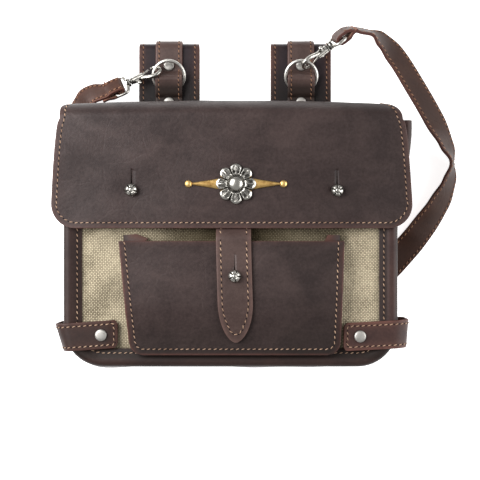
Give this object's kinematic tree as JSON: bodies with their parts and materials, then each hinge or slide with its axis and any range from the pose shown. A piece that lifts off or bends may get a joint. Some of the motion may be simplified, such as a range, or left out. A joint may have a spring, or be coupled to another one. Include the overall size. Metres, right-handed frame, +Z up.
{
  "type": "belt pouch",
  "caption": "Leather and canvas belt pouch with a buttoned flap, a front pocket with a tongue, belt loops with rings, and a shoulder strap on swivel hooks.",
  "frame": {"origin": "on the table under the middle of the whole part as it lies, strap included", "axes": "+X to the right across the pouch, +Y from the pouch's bottom edge to its belt loops, +Z up through the front of the pouch"},
  "size_m": [0.2904, 0.2446, 0.0755],
  "materials": {
    "leather": "waxed dark brown hide",
    "strap_leather": "waxed red-brown strap leather",
    "canvas": "khaki cotton canvas",
    "antique_silver": "antiqued silver-coloured casting, dark in the recesses",
    "nickel": "polished nickel plate",
    "brass": "aged brass"
  },
  "bodies": {
    "pouch": {"back_flap": "leather", "gusset": "leather", "pocket_panel": "leather", "pocket_gusset": "leather", "corner_strap_left": "leather", "corner_strap_right": "leather", "belt_loop_left": "leather", "belt_loop_right": "leather", "tongue": "strap_leather", "shoulder_strap": "strap_leather", "ring_tab_left": "strap_leather", "ring_tab_right": "strap_leather", "front_panel": "canvas", "stud_left": "antique_silver", "stud_right": "antique_silver", "stud_tongue": "antique_silver", "badge_rosette": "antique_silver", "corner_rivet_left": "antique_silver", "corner_rivet_right": "antique_silver", "swivel_eye_left": "antique_silver", "swivel_eye_right": "antique_silver", "ring_left": "nickel", "ring_right": "nickel", "ring_rivet_left_upper": "nickel", "ring_rivet_left_lower": "nickel", "ring_rivet_right_upper": "nickel", "ring_rivet_right_lower": "nickel", "badge_plate": "brass"},
    "hook_left": {"hook_body_left": "antique_silver"},
    "gate_left": {"hook_gate_left": "antique_silver"},
    "hook_right": {"hook_body_right": "antique_silver"},
    "gate_right": {"hook_gate_right": "antique_silver"}
  },
  "joints": [
    {"name": "hook_left_swivel", "type": "hinge", "parent": "pouch", "child": "hook_left", "pos_m": [-0.09724, 0.07899, 0.01771], "axis": [0.9135, 0.4067, 0], "range_deg": [-8, 8]},
    {"name": "gate_left_hinge", "type": "hinge", "parent": "hook_left", "child": "gate_left", "pos_m": [-0.08782, 0.08365, 0.0173], "axis": [0.283, -0.6349, -0.7189], "range_deg": [0, 18], "stiffness_Nm_per_rad": 0.01, "springref_deg": -17.19},
    {"name": "hook_right_swivel", "type": "hinge", "parent": "pouch", "child": "hook_right", "pos_m": [0.0519, 0.10736, 0.01986], "axis": [-0.788, -0.6157, 0], "range_deg": [-20, 10]},
    {"name": "gate_right_hinge", "type": "hinge", "parent": "hook_right", "child": "gate_right", "pos_m": [0.0438, 0.10068, 0.01933], "axis": [-0.5439, 0.6959, -0.4689], "range_deg": [0, 18], "stiffness_Nm_per_rad": 0.01, "springref_deg": -17.19}
  ]
}
